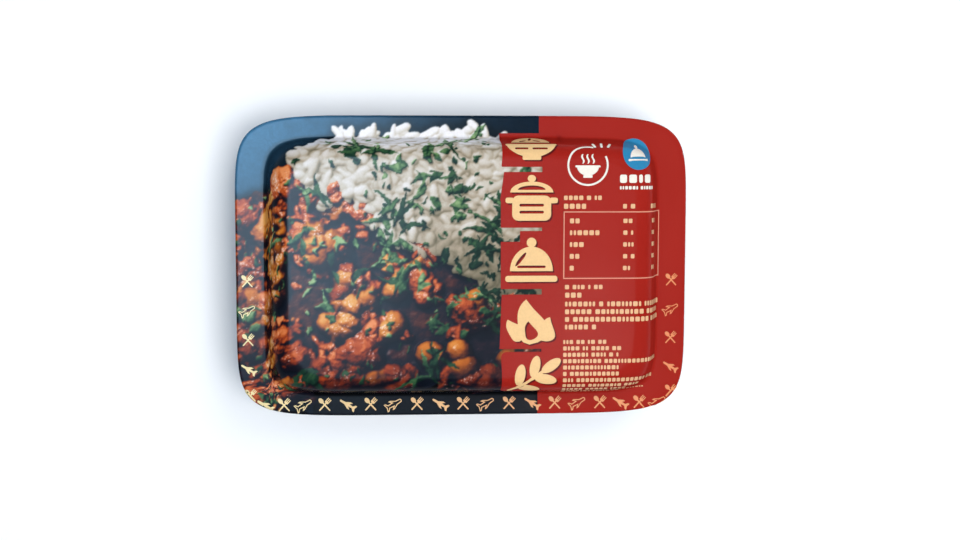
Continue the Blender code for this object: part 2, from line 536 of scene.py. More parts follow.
def rice_light(places):
    """Bright at the upper left, brighter down the far wall, and in shade low down at the right."""
    u, v = places[..., 0], places[..., 1]
    upper_left = smooth(-4, 30, v + 0.9 * np.clip(-10 - u, 0, None))
    lower_right = smooth(-6, 24, u) * smooth(14, -14, v)
    # Lighter up the far wall and onto the flange. On the wall this is painted light against the shade that
    # falls there.
    far = 0.40 * smooth(46, 60, v) + 0.20 * smooth(48, 52, v) * smooth(60, 56, v)
    return (0.32 + 0.42 * upper_left + far) * (1 - 0.0004 * (u + 46)) * (1 - 0.26 * lower_right)


def left_wall(places):
    """1 on the stretch of the sheet that runs down the panel's left wall."""
    u = places[..., 0]
    return smooth(-90, -86, u) * smooth(-71, -78, u)


def stew_light(places):
    """Darker towards the lower right, on the left flange, and at the lower edge but for its left end."""
    u, v = places[..., 0], places[..., 1]
    lower_right = smooth(-12, 26, u) * smooth(10, -26, v)
    flange = smooth(-86, -92, u)
    dark = 0.34 + 0.62 * smooth(-64, -78, u)
    foot = dark + (1 - dark) * smooth(-54, -26, v)
    return (1.03 - 0.0013 * (u + 50)) * (1 - 0.42 * lower_right) * (1 - 0.17 * flange) * foot


def slate_seen(places):
    """The tabletop's colour as seen: brushed and clouded, with painted shade where it runs down the lid's
    walls.
    """
    x, y = np.moveaxis(LID.drawn_down(places * MM), -1, 0)
    right = smooth(*SLATE_ACROSS, x)[..., None]
    upper = smooth(*SLATE_UP, y)[..., None]
    slate = blend(np.array(SLATE_LEFT), np.array(SLATE_RIGHT), right)
    slate = blend(np.array(SLATE_LOW), slate, upper)
    levels = panel_levels()
    foot, shoulder = (LID.reach(np.abs(x), np.abs(y), level) for level in (levels[0], levels[-1]))
    # Painted shade where the sheet runs down the panel's walls, between their foot and shoulder.
    wall = smooth(1.02, 0.985, foot) * smooth(0.97, 1.04, shoulder)
    brushed = 0.03 * fractal(places @ BRUSHING, 5, 251) + 0.03 * fractal(places, 1.4, 259)
    return slate * ((1 - SLATE_WALL_SHADE * wall) * (1 + brushed))[..., None]


def soften(field, size):
    """A field of the relief blurred over that many millimetres."""
    rows = np.fft.fftfreq(field.shape[0], CELL)[:, None]
    columns = np.fft.rfftfreq(field.shape[1], CELL)
    keep = np.exp(-2 * (math.pi * size) ** 2 * (rows**2 + columns**2))
    return np.fft.irfft2(np.fft.rfft2(field) * keep, field.shape)


def light_on(height):
    """Diffuse light and gloss on a relief."""
    slope = np.stack(np.gradient(height, CELL), axis=-1)
    normal = np.concatenate([-slope, np.ones(slope.shape[:-1] + (1,))], axis=-1)
    normal /= np.linalg.norm(normal, axis=-1)[..., None]
    half = PICTURE_SUN + (0, 0, 1)
    half /= np.linalg.norm(half)
    return np.clip(normal @ PICTURE_SUN, 0, 1), np.clip(normal @ half, 0, 1) ** SHARPNESS


def oval_axes(local, half, turn):
    """How far places lie along and across a turned oval, 1 at its ends and its sides."""
    cos, sin = math.cos(turn), math.sin(turn)
    along = (local[..., 0] * cos + local[..., 1] * sin) / half[0]
    aside = (local[..., 1] * cos - local[..., 0] * sin) / half[1]
    return along, aside


class Relief:
    """The pictured food: heights, and the kind and tone of what lies on top, over a fine grid."""

    def __init__(self):
        u = np.arange(PICTURE[0], PICTURE[1] + CELL, CELL)
        v = np.arange(PICTURE[2], PICTURE[3] + CELL, CELL)
        self.low = np.array((PICTURE[0], PICTURE[2]), float)
        self.places = np.stack(np.meshgrid(np.minimum(u, PICTURE_RIGHT), v, indexing="ij"), axis=-1)
        self.ragged = np.stack([fractal(self.places, 3.2, seed) for seed in (201, 205)], axis=-1)
        self.torn = np.stack([fractal(self.places, 1.5, seed) for seed in (241, 245)], axis=-1)
        self.on_rice = in_rice(self.places)
        self.kind = np.where(self.on_rice, RICE_KIND, np.where(in_stew(self.places), SAUCE_KIND, 0))
        rice, sauce = 1.6 + rice_swell(self.places), 0.5 * fractal(self.places, 7, 21)
        self.height = np.where(self.on_rice, rice, sauce)
        self.tone = np.ones(self.height.shape)

    def window(self, low, high):
        """The part of the grid between two corners."""
        first = np.floor((np.asarray(low) - self.low) / CELL).astype(int)
        last = np.ceil((np.asarray(high) - self.low) / CELL).astype(int) + 1
        (i, j), (i_end, j_end) = np.clip((first, last), 0, self.height.shape)
        return np.s_[i:i_end, j:j_end]

    def heap(self, centre, half, turn, base, rise, kind, tone, ragged=0.0):
        """An uneven half ellipsoid, which shows where it stands above what is there."""
        reach = max(half) + ragged
        window = self.window(centre - reach, centre + reach)
        local = self.places[window] + ragged * self.ragged[window] - centre
        along, aside = oval_axes(local, half, turn)
        inside = 1 - along**2 - aside**2
        height = base + rise * np.sqrt(np.clip(inside, 0, 1))
        above = (inside > 0) & (height > self.height[window])
        self.height[window][above] = height[above]
        self.kind[window][above] = kind
        self.tone[window][above] = tone

    def leaf(self, centre, half, turn, bend, tilt, tone):
        """A torn strip of herb that lies on what is there, bowed along itself and ridged in its middle."""
        reach = half[0] * 1.4 + 1
        window = self.window(centre - reach, centre + reach)
        local = self.places[window] + 0.45 * self.torn[window] - centre
        along, aside = oval_axes(local, half, turn)
        aside -= bend * half[0] / half[1] * along**2
        inside = (np.abs(aside) + along**2 < 1) & (self.kind[window] > 0)
        if not inside.any():
            return
        ground = self.height[window]
        plane = ground[inside].mean() + local @ tilt - 0.35 * half[1] * np.abs(aside)
        height = 0.5 * ground + 0.5 * plane + 0.8
        self.height[window][inside] = height[inside]
        self.kind[window][inside] = HERB_KIND
        self.tone[window][inside] = tone

    def shadows(self, height):
        """How deep each point lies in the shadow of what stands towards the light."""
        heading = PICTURE_SUN[:2] / np.linalg.norm(PICTURE_SUN[:2])
        depth = np.zeros(height.shape)
        for run in np.arange(SHADOW_STEP, SHADOW_REACH, SHADOW_STEP):
            shift = np.rint(-run * heading / CELL).astype(int)
            depth = np.maximum(depth, np.roll(height, shift, (0, 1)) - height - run * SHADOW_RISE)
        return soften(np.clip(depth / SHADOW_DEPTH, 0, 1), 0.25)

    def colours(self):
        """Colours as seen, with light, shadow, hollows and gloss."""
        rice, herb = self.kind == RICE_KIND, self.kind == HERB_KIND
        height = np.where(herb | rice, soften(self.height, 0.24), soften(self.height, 0.32))
        height += GRAIN[self.kind] * fractal(self.places, 2.2, 211)
        glaze = height + GLAZE[self.kind] * fractal(self.places, 0.9, 215)
        diffuse = light_on(height)[0]
        gloss = light_on(glaze)[1]
        shadow = self.shadows(height)
        hollow = np.clip((soften(height, 1.8) - height) / 1.8, 0, 1)
        light = np.where(rice | (herb & self.on_rice), rice_light(self.places), stew_light(self.places))
        light = light * self.tone * (1 + 0.07 * fractal(self.places, 9, 221))
        grain = 1 + 0.16 * fractal(self.places, 1.3, 225)
        shapes = [0.46 + 0.56 * diffuse, (0.13 + 0.64 * diffuse) * grain]
        shape = np.select([rice, herb], shapes, np.clip(1.35 * diffuse - 0.32, 0.04, 1))
        darkness = DARKNESS[self.kind]
        level = light * shape * (1 - darkness * shadow) * (1 - darkness * hollow)
        ramps = [ramp(stops, level) for stops in (SAUCE, RICE, STEW, AMBER, HERB)]
        picked = np.select([(self.kind == kind)[..., None] for kind in range(1, 6)], ramps, 0)
        patchy = smooth(-0.5, 0.5, fractal(self.places, 5, 231))
        shine = SHINE[self.kind] * gloss * patchy
        shine = np.clip(shine * (1 - shadow) * np.clip(light, 0, 1), 0, 1)
        return picked + (SHINE_COLOUR - picked) * shine[..., None]

    def print(self, layers):
        """The relief's colours as ink, from left to right over the layers, with a soft shadow round it."""
        food = (self.kind > 0) * 1.0
        share = np.clip(soften(food, 0.2) * 1.6 - 0.45, 0, 1)[..., None]
        # The food's soft shadow, painted on the tabletop round it.
        food_shadow = smooth(0.03, 0.5, soften(food, FOOD_SHADOW_SPREAD))
        slate = slate_seen(self.places) * (1 - FOOD_SHADOW_DEPTH * food_shadow[..., None])
        colours = blend(slate, self.colours(), share)
        every = np.s_[::INK_CELLS, ::INK_CELLS]
        ink = np.stack([soften(colours[..., channel], 0.13)[every] for channel in range(3)], axis=-1)
        places = self.places[every]
        step = math.ceil((len(places) - 1) / len(layers))
        for layer, start in zip(layers, range(0, len(places), step)):
            part = np.s_[start : start + step + 1]
            faces = strip_faces(len(places[part]) - 1, places.shape[1])
            layer.add(places[part].reshape(-1, 2), faces, ink[part].reshape(-1, 3), LIFT_FOOD)


def rice_swell(places):
    """How the heap of rice rises and falls."""
    return 1.3 * fractal(places, 13, 91)


def heap_rice(relief):
    """Grains that lie along with their neighbours, most of them sunk in the heap."""
    for spacing, length, width, lift, spread, tone, seed in (
        (3.8, 6.6, 3.4, 1.2, 0.45, 0.94, 1),
        (5.0, 6.6, 3.4, 1.6, 0.60, 1.0, 2),
        (9.5, 6.8, 3.5, 2.6, 0.5, 1.08, 3),
    ):
        rng = np.random.default_rng(seed)
        places = scatter(PICTURE, spacing, 0.45, seed)
        lean = 3 * noise(places, 12, 95) + rng.normal(0, 0.7, len(places))
        base = lift + rice_swell(places) + rng.normal(0, spread, len(places))
        sizes = np.array((length, width)) / 2 * rng.uniform(0.78, 1.2, (len(places), 2))
        tones = tone + rng.normal(0, 0.05, len(places))
        for place, half, turn, level, shade, kept in zip(places, sizes, lean, base, tones, in_rice(places)):
            if kept:
                relief.heap(place, half, turn, level, half[1], RICE_KIND, shade, 0.35)


def heap_stew(relief):
    """Lumps, bits and crumbs over dark sauce. They lie closer higher up and at the left.

    More of them are amber where the sheet runs down the left wall.
    """
    for spacing, low, high, share, seed in (
        (14.0, 6.4, 9.6, 0.88, 31),
        (9.5, 3.0, 4.8, 0.36, 32),
        (5.4, 0.9, 2.2, 0.26, 33),
    ):
        rng = np.random.default_rng(seed)
        places = scatter(PICTURE, spacing, 0.42, seed)
        closer = 0.2 * smooth(-70, -76, places[:, 0]) + 0.38 * fractal(places, 18, 35)
        closer += 0.004 * (places[:, 1] + 6) - 0.0012 * (places[:, 0] + 30)
        red = 0.80 - 0.42 * left_wall(places)
        for place, there, more, red_share in zip(places, in_stew(places), closer, red):
            size, shown = rng.uniform(low, high), rng.uniform() < share + more
            kind = STEW_KIND if rng.uniform() < red_share else AMBER_KIND
            if there and shown and rng.uniform() < LUMP_SHARE:
                heap_lump(relief, rng, place, size, kind)
            elif there and shown:
                heap_strand(relief, rng, place, size, kind)


def heap_lump(relief, rng, place, size, kind):
    """One lump of stew, with smaller knobs all over it if it isn't small itself."""
    stretch, turn = rng.uniform(1.0, 1.35), rng.uniform(0, 180)
    tone, base = rng.uniform(0.76, 1.12), rng.uniform(-0.6, 0.8)
    half = np.array((size * stretch, size / stretch))
    rise = 0.62 * half[1]
    relief.heap(place, half, math.radians(turn), base, rise, kind, tone, 0.8)
    for _ in range(rng.integers(5, 9) if size > 2.5 else 0):
        angle, share = rng.uniform(0, 2 * math.pi), rng.uniform(0.1, 0.95)
        knob = turned(np.array([(math.cos(angle), math.sin(angle))]) * half * share, turn, place)[0]
        small = size * rng.uniform(0.30, 0.56)
        level = base + rise * math.sqrt(1 - share**2) - 0.35 * small
        shade = tone * rng.uniform(0.86, 1.14)
        lie, ragged = rng.uniform(0, 3), rng.uniform(0.3, 1.1)
        relief.heap(knob, (small * 1.25, small), lie, level, small, kind, shade, ragged)


def heap_strand(relief, rng, place, size, kind):
    """A few bent shreds that lie side by side, each a row of small heaps."""
    heading, tone = rng.uniform(0, 2 * math.pi), rng.uniform(0.8, 1.1)
    for _ in range(rng.integers(3, 6)):
        start = place + rng.normal(0, 0.3, 2) * size
        thick, bend, base = rng.uniform(0.8, 1.7), rng.normal(0, 0.10), rng.uniform(0.5, 2.2)
        course = heading + rng.normal(0, 0.45) + bend * np.arange(12)
        step = rng.uniform(0.3, 0.75)
        path = start + np.cumsum(np.column_stack([np.cos(course), np.sin(course)]), axis=0) * step
        shade = tone * rng.uniform(0.85, 1.15)
        for point, turn in zip(path - (path[-1] - start) / 2, course):
            relief.heap(point, (thick + 1, thick), turn, base, thick, kind, shade, 0.35)


def heap_balls(relief):
    """Round chickpea-like pieces, smoother than the rest, over the middle and right of the stew."""
    rng = np.random.default_rng(41)
    for place in scatter(BALLS, 13, 0.40, 41):
        size, turn, tone = rng.uniform(4.8, 6.0), rng.uniform(0, math.pi), rng.uniform(0.86, 1.06)
        if place[1] < rice_edge(place[0]) - 4 and rng.uniform() < BALL_SHARE:
            relief.heap(place, (size * 1.06, size * 0.96), turn, 1.0, size * 0.95, AMBER_KIND, tone, 0.35)


def herb_share(places):
    """How thick the herbs lie: most over the middle of the rice and in its lower right."""
    u, v = places.T
    middle = np.exp(-((u + 17) ** 2 / 330 + (v - 29) ** 2 / 260))
    right = np.exp(-((u - 18) ** 2 / 260 + (v - 2) ** 2 / 300))
    return 0.46 * middle + 0.66 * right


def lay_herbs(relief):
    """Bunches of chopped herb, long strips, and shreds all over the food."""
    for spacing, share, pieces, spread, lengths, widths, seed in (
        (12.0, 0.16, (3, 9), 3.0, (3.2, 9.0), (1.3, 3.3), 52),
        (9.5, 0.08, (2, 4), 1.8, (9, 18), (1.2, 2.4), 54),
        (5.0, 0.18, (1, 3), 1.0, (1.6, 4.4), (0.8, 1.7), 53),
    ):
        rng = np.random.default_rng(seed)
        places = scatter(PICTURE, spacing, 0.45, seed)
        shares = share + herb_share(places)
        there = in_rice(places) | in_stew(places)
        for place in places[there & (rng.uniform(size=len(places)) < shares)]:
            light = rng.choice([0.7, 0.9, 1.1, 1.4])
            for _ in range(rng.integers(*pieces)):
                centre = place + rng.normal(0, spread, 2)
                half = (rng.uniform(*lengths) / 2, rng.uniform(*widths) / 2)
                tilt = rng.normal(0, 0.4, 2)
                turn, bend = rng.uniform(0, math.pi), rng.normal(0, 0.25)
                relief.leaf(centre, half, turn, bend, tilt, light * rng.uniform(0.8, 1.25))


def inside_polygon(places, polygon):
    """Which places (n, 2) lie inside a polygon."""
    x, y = places[:, 0, None], places[:, 1, None]
    start = np.asarray(polygon, float)
    end = np.roll(start, -1, axis=0)
    crosses = (start[:, 1] > y) != (end[:, 1] > y)
    rise = np.where(end[:, 1] == start[:, 1], 1, end[:, 1] - start[:, 1])
    at = start[:, 0] + (y - start[:, 1]) * (end[:, 0] - start[:, 0]) / rise
    return (crosses & (x < at)).sum(axis=1) % 2 == 1


def fill(solids, holes=(), step=1.0):
    """A flat motif's points and triangles, from polygons in millimetres: the solids without the holes.

    Points are added inside it, a step apart, so that it can bend over the lid.
    """
    outlines = [np.asarray(outline, float) for outline in [*solids, *holes]]
    every = np.vstack(outlines)
    low, high = every.min(axis=0) + step / 2, every.max(axis=0)
    columns, rows = (np.arange(first, last, step) for first, last in zip(low, high))
    inner = np.stack(np.meshgrid(columns, rows), axis=-1)
    edges = []
    start = 0
    for outline in outlines:
        index = start + np.arange(len(outline))
        edges += np.column_stack([index, np.roll(index, -1)]).tolist()
        start += len(outline)
    points = np.vstack([every, inner.reshape(-1, 2)])
    made = delaunay_2d_cdt([Vector(point) for point in points.tolist()], edges, [], 0, WELD)
    points, faces = np.array([tuple(point) for point in made[0]]), np.array(made[2])
    middles = points[faces].mean(axis=1)
    kept = np.zeros(len(faces), bool)
    for solid in solids:
        kept |= inside_polygon(middles, solid)
    for hole in holes:
        kept &= ~inside_polygon(middles, hole)
    faces = faces[kept]
    used, index = np.unique(faces, return_inverse=True)
    return points[used], index.reshape(-1, 3)


def turned(polygon, degrees, centre=(0, 0), scale=1.0):
    angle = math.radians(degrees)
    rotate = np.array([[math.cos(angle), math.sin(angle)], [-math.sin(angle), math.cos(angle)]])
    return np.asarray(polygon, float) @ rotate * scale + np.asarray(centre, float)


def box(low_x, low_y, high_x, high_y, radius=0.0):
    """A rectangle with round corners, anticlockwise."""
    corners = ((high_x, high_y, 0), (low_x, high_y, 90), (low_x, low_y, 180), (high_x, low_y, 270))
    radius = max(radius, 1e-4)
    points = []
    for x, y, start in corners:
        centre = np.clip((x, y), (low_x + radius, low_y + radius), (high_x - radius, high_y - radius))
        for angle in np.radians(np.linspace(start, start + 90, 5)):
            points.append((centre[0] + radius * math.cos(angle), centre[1] + radius * math.sin(angle)))
    return np.array(points)


def oval(x, y, half_x, half_y, start=0, end=360, steps=28):
    angles = np.radians(np.linspace(start, end, steps, endpoint=end - start < 360))
    return np.column_stack([x + half_x * np.cos(angles), y + half_y * np.sin(angles)])


def bar(start, end, width):
    """A straight stroke with round ends."""
    start, end = np.asarray(start, float), np.asarray(end, float)
    length = np.linalg.norm(end - start)
    degrees = math.degrees(math.atan2(end[1] - start[1], end[0] - start[0]))
    return turned(box(-width / 2, -width / 2, length + width / 2, width / 2, width / 2), degrees, start)


def ribbon(middle, half, y):
    """An upright stroke, from its middle line and half its width at each height."""
    return np.vstack([np.column_stack([middle + half, y]), np.column_stack([middle - half, y])[::-1]])


def wave(x, low, high, sway, width):
    """An upright wavy stroke, as of steam."""
    y = np.linspace(low, high, 14)
    middle = x + sway * np.sin((y - low) / (high - low) * 2 * math.pi)
    return ribbon(middle, width / 2 * np.sin(math.pi * np.linspace(0.12, 0.88, 14)) ** 0.5, y)


def rice_bowl():
    solids = [
        oval(0, -1.4, 9.6, 6.6, 180, 360, 24),
        box(-3.6, -9.0, 3.6, -7.2, 0.5),
        oval(0, -0.2, 7.6, 8.0, 8, 172, 24),
        box(-10, -2.3, 10, -0.9, 0.6),
    ]
    holes = [box(-6.4, -4.6, -1.2, -3.6, 0.4), box(0.4, -4.6, 6.4, -3.6, 0.4)]
    grains = ((35, (-3, 3)), (-30, (2.6, 3.4)), (80, (0, 5.6)))
    holes += [turned(oval(0, 0, 1.7, 0.62), degrees, place) for degrees, place in grains]
    return solids, holes


def pot():
    solids = [
        box(-7.6, -8.4, 7.6, 1.4, 2.4),
        box(-10.2, -1.6, -7, 0.6, 0.8),
        box(7, -1.6, 10.2, 0.6, 0.8),
        oval(0, 2.6, 8.4, 4.2, 0, 180, 22),
        oval(0, 8.0, 1.6, 1.4),
    ]
    holes = [box(-4.8, low, 4.8, high, 0.5) for low, high in ((-5.6, -4.5), (-2.9, -1.8))]
    holes.append(oval(0, 3.6, 5.4, 1.7, 0, 180, 16))
    return solids, holes


def cloche():
    solids = [
        oval(0, -4.4, 8.4, 9.6, 0, 180, 30),
        box(-10.2, -8.6, 10.2, -6.2, 1.0),
        oval(0, 6.8, 1.9, 1.9),
    ]
    holes = [turned(oval(0, 0, 3.4, 0.7), 52, (-4.2, 0.2)), box(-5.6, -3.2, 5.6, -2.2, 0.5)]
    return solids, holes


def flame():
    steps = 22
    rise = np.linspace(0, 1, steps)
    half = 6.6 * np.sin(math.pi * rise**0.72) ** 0.8 * (1 - 0.25 * rise)
    middle = 1.6 * np.sin(rise * 5.2) - 0.6
    y = -8.8 + 17.8 * rise
    repeated = (steps, 2 * steps - 1)  # where the second side meets the first, at the tip and the foot
    outer = np.delete(ribbon(middle, half, y), repeated, axis=0)
    inner = outer * (0.42, 0.42) + (-0.2, -3.4)
    solids = [outer, turned(outer, 24, (-6.2, -3.0), 0.55), turned(outer, -24, (6.4, -3.0), 0.55)]
    return solids, [inner]


def sprig():
    solids = [bar((-8.6, -6.0), (6.4, 4.4), 1.3)]
    leaf = np.vstack([oval(0, 0, 4.4, 2.0, 0, 180, 14), oval(0, 0, 4.4, 2.0, 180, 360, 14)[1:-1]])
    leaves = ((80, (-4.2, 1.8)), (-12, (-0.6, -4.4)), (78, (1.6, 5.2)), (-10, (5.8, 0.2)), (35, (8.0, 5.6)))
    return solids + [turned(leaf, degrees, place) for degrees, place in leaves], []


def cutlery():
    """A spoon crossed over a fork."""
    spoon = [bar((0, -3.2), (0, 1.0), 0.62), oval(0, 2.3, 0.95, 1.35, steps=16)]
    fork = [bar((0, -3.2), (0, 1.4), 0.62), box(-0.95, 0.9, 0.95, 1.9, 0.45)]
    fork += [bar((x, 1.6), (x, 3.3), 0.42) for x in (-0.72, 0, 0.72)]
    return [turned(shape, 42) for shape in spoon] + [turned(shape, -42) for shape in fork], []


def inset(outline, distance):
    """An anticlockwise outline drawn in by that distance."""
    ahead = np.roll(outline, -1, axis=0) - outline
    left = np.column_stack([-ahead[:, 1], ahead[:, 0]]) / np.linalg.norm(ahead, axis=1)[:, None]
    before = np.roll(left, 1, axis=0)
    return outline + (left + before) * distance / (1 + (left * before).sum(axis=1))[:, None]


def plane_outline(body, wing):
    """A small aeroplane, its nose to +x, from half its body's width and the reach of a wing."""
    upper = [
        (3.9, 0),
        (3.5, body * 0.8),
        (1.3, body),
        (-0.7, wing),
        (-1.8, wing),
        (-0.7, body),
        (-2.4, body * 0.85),
        (-3.3, body + 0.9),
        (-4.1, body + 0.9),
        (-3.6, 0),
    ]
    lower = [(x, -y) for x, y in upper[1:-1]][::-1]
    return np.array(upper + lower)


def plane():
    return [turned(plane_outline(0.54, 1.6), 148)], []


def hollow_plane():
    outline = plane_outline(0.95, 2.1)
    return [turned(outline, 30)], [turned(inset(outline, 0.40), 30)]


def stamp(ink, shape, centre, colours, lift, scale=1.0, drawn=True):
    """A motif set down on the sheet in one colour, or with colours as a function of its places."""
    points, faces = shape
    places = points * scale + np.asarray(centre, float)
    shades = colours(places) if callable(colours) else np.array(colours, float)
    ink.add(places, faces, shades, lift, drawn)


def title_patches():
    """Red grounds for the pictograms, a millimetre or two apart, each with an uneven left side."""
    first, second, third, fourth, fifth = PATCHES
    left, right = PATCH_LEFT, PATCH_RIGHT

    def ground(left_side, low, high):
        return [[*left_side, (right, low), (right, high)]]

    yield [box(left + 0.2, first[0], right, first[1], 0.4)]
    yield ground([(left + 1.2, second[1]), (left - 0.3, 27), (left, 26.8), (left, second[0])], *second)
    low, high = third
    yield [box(left, low, right, high - 4.2, 0.3), box(left + 7.5, low + 2, right, high, 0.3)]
    yield ground([(left + 0.4, fourth[1]), (left - 0.4, fourth[0])], *fourth)
    yield [box(left + 0.3, fifth[0], right, fifth[1], 2.0)]


def print_title(patches, title):
    """Gold pictograms down the edge of the picture, each on a red patch that joins the red panel."""
    for patch in title_patches():
        stamp(patches, fill(patch, step=0.7), (0, 0), RED, LIFT_PATCH)
    for motif, v in zip((rice_bowl, pot, cloche, flame, sprig), TITLE_ROWS):
        shape = fill(*motif(), step=0.7)
        stamp(title, shape, (TITLE_X + TITLE_SHADE[0], v + TITLE_SHADE[1]), GOLD_SHADE, LIFT_SHADE)
        stamp(title, shape, (TITLE_X, v), GOLD, LIFT_TOP)


def word_row(ink, u, v, end, height, seed, colour=CREAM):
    """A line of small print from u to the end, with a small block for each word or sign."""
    rng = np.random.default_rng(seed)
    gap = BLOCK_GAP * height
    while u < end - height * BLOCK_LEAST:
        width = min(height * rng.choice(BLOCK_WIDTHS), end - u)
        block = box(u, v - height / 2, u + width, v + height / 2, height * BLOCK_RADIUS)
        stamp(ink, fill([block]), (0, 0), colour, LIFT_TOP)
        u += width + gap * (1 if rng.uniform() < CLOSE_SHARE else 3)


def line(ink, start, end, width, colour):
    """A thin ruled line with a point at each millimetre, so that it follows the walls."""
    start, end = np.asarray(start, float), np.asarray(end, float)
    steps = max(2, int(np.linalg.norm(end - start)))
    along = (end - start) / np.linalg.norm(end - start)
    side = np.array([-along[1], along[0]]) * width / 2
    path = start + (end - start) * np.linspace(0, 1, steps + 1)[:, None]
    sheet = np.stack([path - side, path + side], axis=1).reshape(-1, 2)
    ink.add(sheet, strip_faces(steps, 2)[:, ::-1], np.array(colour, float), LIFT_TOP)


def print_table(ink):
    """The ruled frame with its rows, and the heads above it."""
    left, right, top, bottom = 38.9, 86.6, 22.4, -3.6
    first_row, row_step = 18.9, 4.62
    width = 0.42
    for v in (top, bottom):
        line(ink, (left - width / 2, v), (right + width / 2, v), width, PALE)
    for u in (left, right):
        line(ink, (u, bottom), (u, top), width, PALE)
    word_row(ink, 38.8, 27.9, 54.4, 1.7, 61)
    word_row(ink, 38.8, 24.6, 49.8, 2.0, 62)
    word_row(ink, 62.0, 24.6, 67.9, 1.8, 63)
    word_row(ink, 74.2, 24.6, 82.0, 1.8, 64)
    for row, length in enumerate((4.6, 11.6, 6.9, 4.6, 2.3)):
        v = first_row - row_step * row
        word_row(ink, 41.2, v, 41.2 + length, 1.9, 65 + row)
        word_row(ink, 62.2, v, 67.2, 1.7, 75 + row)
        word_row(ink, 75.2, v, 78.6, 1.7, 85 + row)


def print_small_text(ink):
    """Two short lines, then two blocks of lines with uneven ends."""
    word_row(ink, 39.4, -7.0, 55.4, 1.7, 91)
    word_row(ink, 39.5, -10.2, 46.6, 2.0, 92)
    for row, end in enumerate((86.5, 86.5, 86.5, 51.8)):
        word_row(ink, 39.5, -13.7 - 3.03 * row, end, 1.9, 93 + row)
    for row, end in enumerate((57, 62, 61.4, 84, 62, 61, 82, 72, 66, 74, 64)):
        v = -28.7 - 2.53 * row
        word_row(ink, 38.9, v, end, 1.6, 100 + row)


def print_ring(ink):
    """A white ring, open at its upper right, with a small bowl in it and three rays over the gap."""
    centre = np.array([48.1, 40.6])
    radius, width, steps = 7.7, 0.74, 89
    angles = np.radians(np.linspace(72, 386, steps + 1))
    rim = np.column_stack([np.cos(angles), np.sin(angles)])
    sheet = np.stack([centre + rim * (radius - width / 2), centre + rim * (radius + width / 2)], axis=1)
    ink.add(sheet.reshape(-1, 2), strip_faces(steps, 2)[:, ::-1], np.array(WHITE, float), LIFT_TOP)
    steam = [wave(x, 0.6, 4.2, 0.35, 0.75) for x in (-2, 0, 2)]
    bowl = [oval(0, -0.4, 4.3, 3.7, 180, 360, 20)]
    bowl += [box(-4.9, -0.9, 4.9, -0.1, 0.3), box(-1.8, -4.9, 1.8, -3.9, 0.2)]
    stamp(ink, fill(steam + bowl), centre, WHITE, LIFT_TOP)
    for index in range(3):
        ray = bar((0, 0), (0, 2.6 - 0.5 * abs(index - 1)), 0.95)
        place = (51.2 + 2.6 * index, 48.4)
        stamp(ink, fill([turned(ray, 18 - 22 * index)]), place, WHITE, LIFT_TOP)


def print_badge(ink):
    """A plain round blue badge with a covered dish on it, and two rows of white blocks below."""
    centre, radius = (68.2, 44.9), 6.2
    disc = fill([oval(0, 0, radius, radius, steps=40)], step=0.5)
    stamp(ink, disc, centre, BADGE_BLUE, LIFT_SHADE, drawn=False)
    dish = [oval(0, -1.4, 3.2, 3.4, 0, 180, 18), box(-4.1, -2.8, 4.1, -2.0, 0.3)]
    dish.append(oval(0, 2.6, 0.7, 0.7, steps=12))
    stamp(ink, fill(dish, step=0.5), centre, WHITE, LIFT_TOP, drawn=False)
    word_row(ink, 60.7, 35.3, 76.4, 3.2, 121, WHITE)
    word_row(ink, 60.7, 31.8, 76.4, 1.3, 122, WHITE)


def border_colour(places):
    """Pale yellow at the left end of the border, salmon at the right end."""
    half = 86
    share = np.clip((places[:, 0] + half) / (2 * half), 0, 1)[:, None]
    return blend(BORDER_LEFT, BORDER_RIGHT, share)


def print_border(ink):
    """Crossed cutlery and small planes in turn, along the lower flange and up both ends."""
    motifs = [fill(*shape(), step=1.5) for shape in (cutlery, hollow_plane, cutlery, plane)]

    def motif(index, place, scale):
        stamp(ink, motifs[index % 4], place, border_colour, LIFT_BORDER, scale, False)

    for index in range(-1, 18):
        u = BORDER_START + BORDER_STEP * index
        closer = SQUEEZE * max(0, abs(u) - SQUEEZE_FROM) ** SQUEEZE_POWER
        motif(index, (u - math.copysign(closer, u), BORDER_V), BORDER_SCALE)
    for index in range(4):
        for u in COLUMNS:
            motif(index, (u, COLUMN_TOP - COLUMN_STEP * index), COLUMN_SCALE)
    for place in CORNERS:
        motif(0, place, COLUMN_SCALE)


